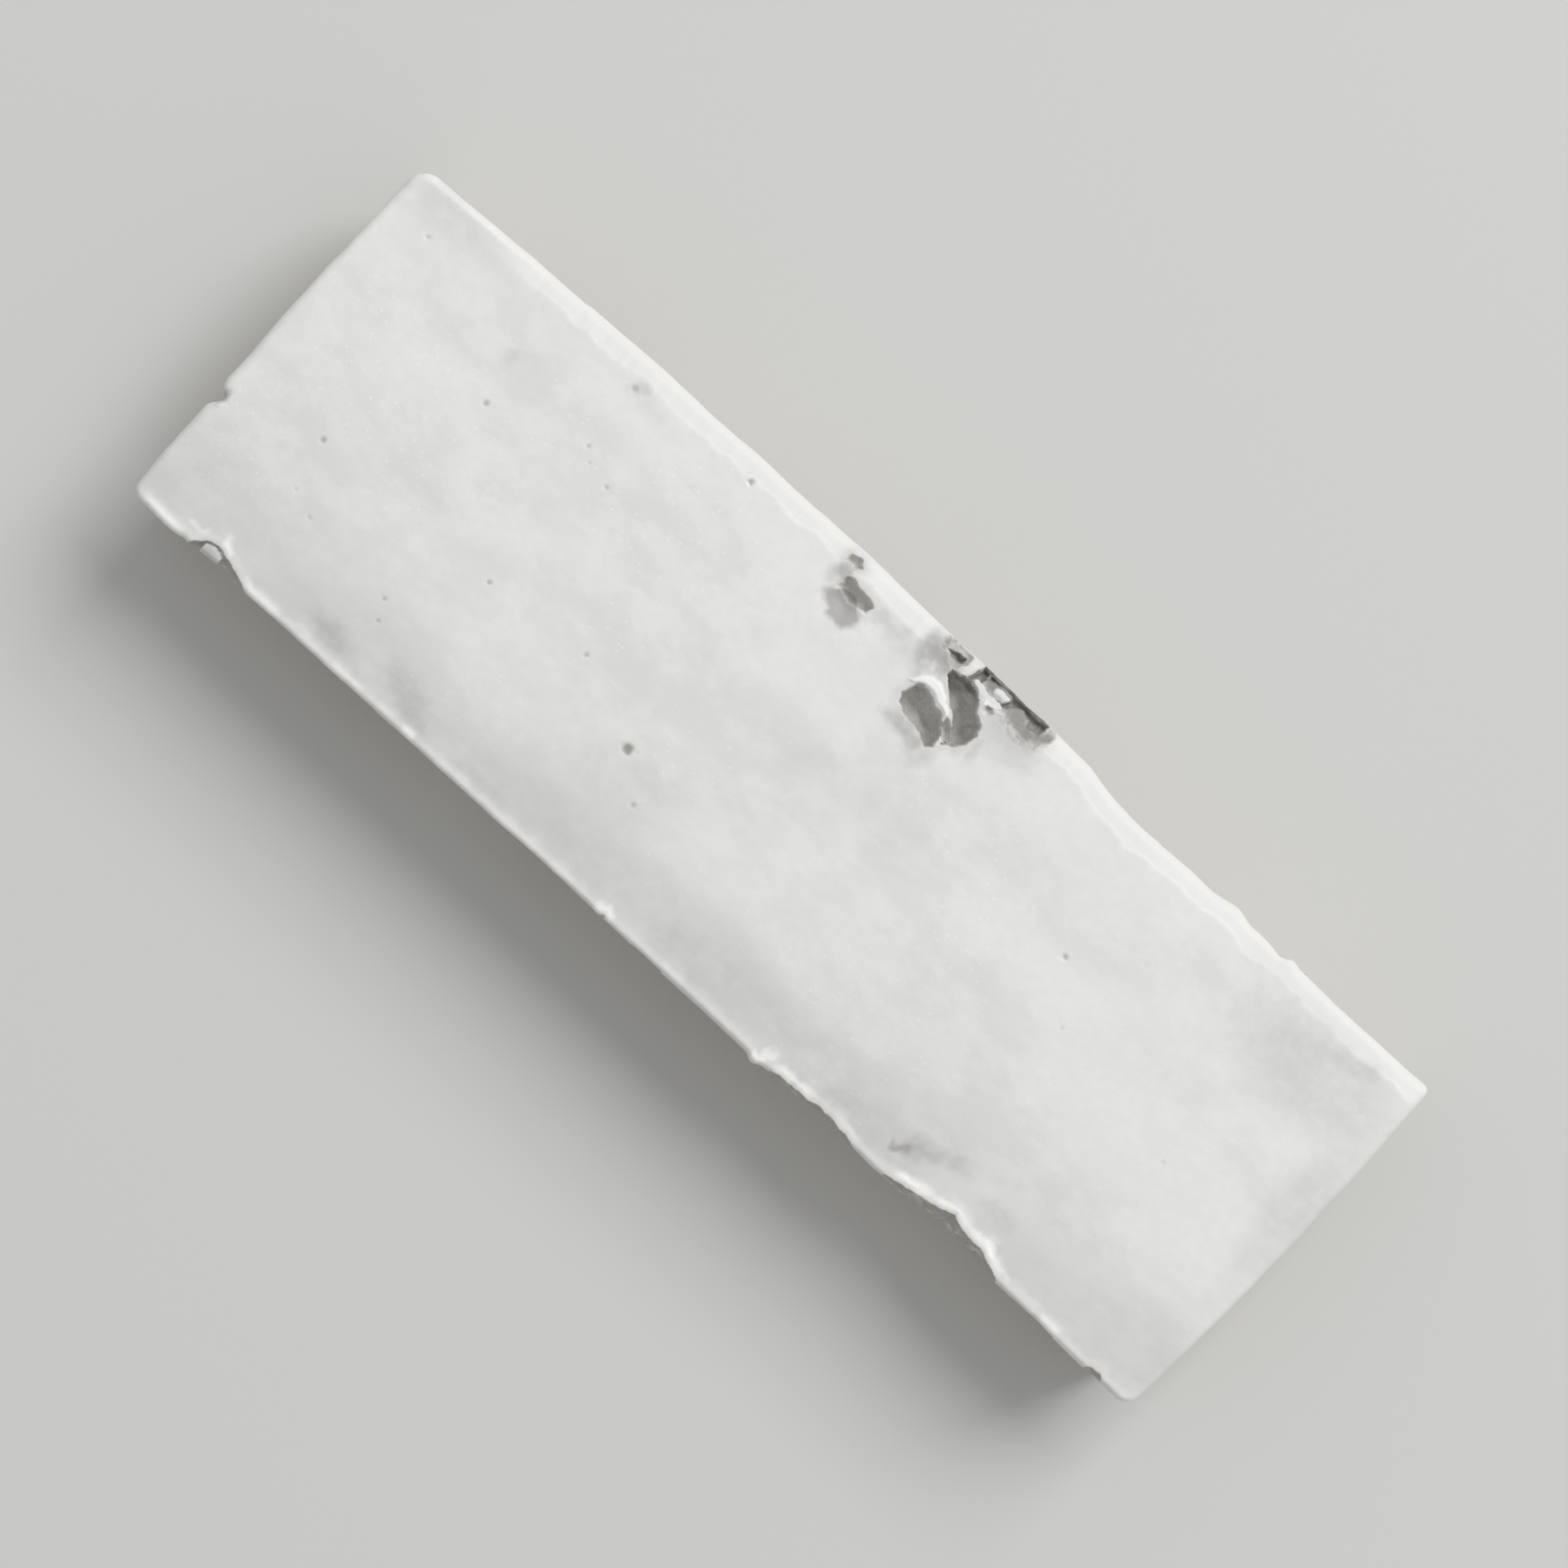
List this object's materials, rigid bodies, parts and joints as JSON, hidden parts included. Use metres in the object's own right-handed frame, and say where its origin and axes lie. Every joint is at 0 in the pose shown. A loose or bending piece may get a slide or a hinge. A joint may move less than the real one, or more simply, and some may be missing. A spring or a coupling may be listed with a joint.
{
  "type": "bejmat tile",
  "caption": "Glazed bejmat tile: a thick off-white clay brick tile with a crowned face, a rolled glaze edge, blown pits and chipped edges.",
  "frame": {"origin": "centre of the plan box, on the raw back", "axes": "+X along the length, +Y across the width towards the side with the broken rolled edge, +Z through the thickness out of the glazed face"},
  "size_m": [0.147, 0.048, 0.02],
  "materials": {
    "glazed_clay": "gloss"
  },
  "bodies": {
    "root": {"tile": "glazed_clay"}
  },
  "joints": []
}
